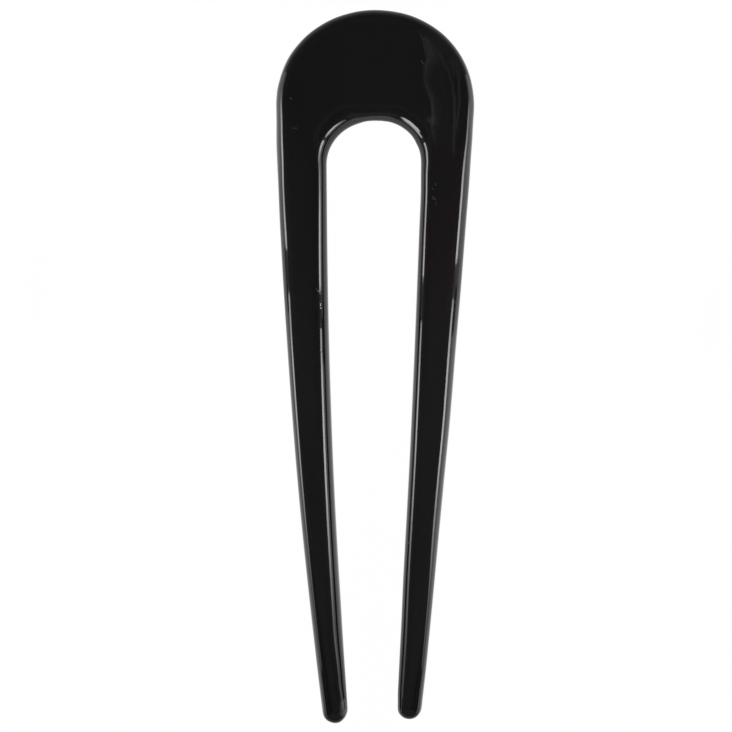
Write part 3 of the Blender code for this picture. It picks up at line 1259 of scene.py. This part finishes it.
card_mesh = bpy.data.meshes.new("end_card")
card_mesh.from_pydata(
    [
        (-CARD_HALF_WIDTH, CARD_FROM_MIDDLE, CARD_BOTTOM),
        (CARD_HALF_WIDTH, CARD_FROM_MIDDLE, CARD_BOTTOM),
        (CARD_HALF_WIDTH, CARD_FROM_MIDDLE, CARD_TOP),
        (-CARD_HALF_WIDTH, CARD_FROM_MIDDLE, CARD_TOP),
    ],
    [],
    [(0, 1, 2, 3)],
)
end_card = bpy.data.objects.new("end_card", card_mesh)
bpy.context.scene.collection.objects.link(end_card)
card_paper = bpy.data.materials.new("pale_card")
card_paper.use_nodes = True
card_tree = card_paper.node_tree
card_tree.nodes.clear()
card_glow = add(card_tree, "ShaderNodeEmission", None, Strength=CARD_LEVEL)
card_tree.links.new(card_glow.outputs[0], card_tree.nodes.new("ShaderNodeOutputMaterial").inputs[0])
card_mesh.materials.append(card_paper)
end_card.visible_camera = False


# Room: dim and even all round, so that the flat faces stay black, and white behind the table.

# Levels of the room overhead, from straight towards the tips to straight towards the head
ROOM_LEVELS = (
    (-1.0, 0.075),
    (-0.75, 0.060),
    (-0.5, 0.045),
    (-0.2, 0.045),
    (-0.155, 0.100),
    (-0.12, 0.135),
    (-0.09, 0.120),
    (-0.055, 0.100),
    (-0.02, 0.118),
    (0.01, 0.108),
    (0.035, 0.080),
    (0.065, 0.062),
    (0.12, 0.055),
    (0.138, 0.058),
    (0.155, 0.085),
    (0.4, 0.090),
    (1.0, 0.090),
)
HORIZON_LEVEL = 0.34
HORIZON_BELOW_TIPS = 0.12
HORIZON_TURN = (-0.6, -0.1)
HORIZON_FADE = 0.8

room = bpy.data.worlds.new("dim_room")
room.use_nodes = True
room_tree = room.node_tree
room_tree.nodes.clear()
room_path = room_tree.nodes.new("ShaderNodeLightPath").outputs
way = room_tree.nodes.new("ShaderNodeTexCoord").outputs["Generated"]
_, way_y, upward = add(room_tree, "ShaderNodeSeparateXYZ", None, Vector=way).outputs
overhead_level = graph(room_tree, way_y, ROOM_LEVELS)
horizon_level = eased(room_tree, way_y, *HORIZON_TURN, HORIZON_BELOW_TIPS, HORIZON_LEVEL)
level = eased(room_tree, upward, 0.0, HORIZON_FADE, horizon_level, overhead_level)
level = sums(room_tree, "MAXIMUM", room_path["Is Camera Ray"], level)
sky = add(room_tree, "ShaderNodeBackground", None, Color=(1.0, 1.0, 1.0, 1.0), Strength=level)
room_tree.links.new(sky.outputs[0], room_tree.nodes.new("ShaderNodeOutputWorld").inputs[0])
bpy.context.scene.world = room


# Camera: straight above the middle of the pin with a long lens, turned a little with the picture.

CAMERA_PLACE = (-0.8435 * MM, 0.101 * MM, 372.1 * MM)
CAMERA_TURN = 0.014
PICTURE_SIDE = 732
FOCAL_PIXELS = 2400.0
SENSOR_WIDTH = 36.0
CLIP_START = 10.0 * MM

camera_data = bpy.data.cameras.new("camera")
camera_data.sensor_width = SENSOR_WIDTH
camera_data.lens = FOCAL_PIXELS / PICTURE_SIDE * SENSOR_WIDTH
camera_data.clip_start = CLIP_START
camera = bpy.data.objects.new("camera", camera_data)
camera.location = CAMERA_PLACE
camera.rotation_euler = (0.0, 0.0, CAMERA_TURN)
bpy.context.scene.collection.objects.link(camera)
bpy.context.scene.camera = camera
bpy.context.scene.view_settings.view_transform = "Standard"
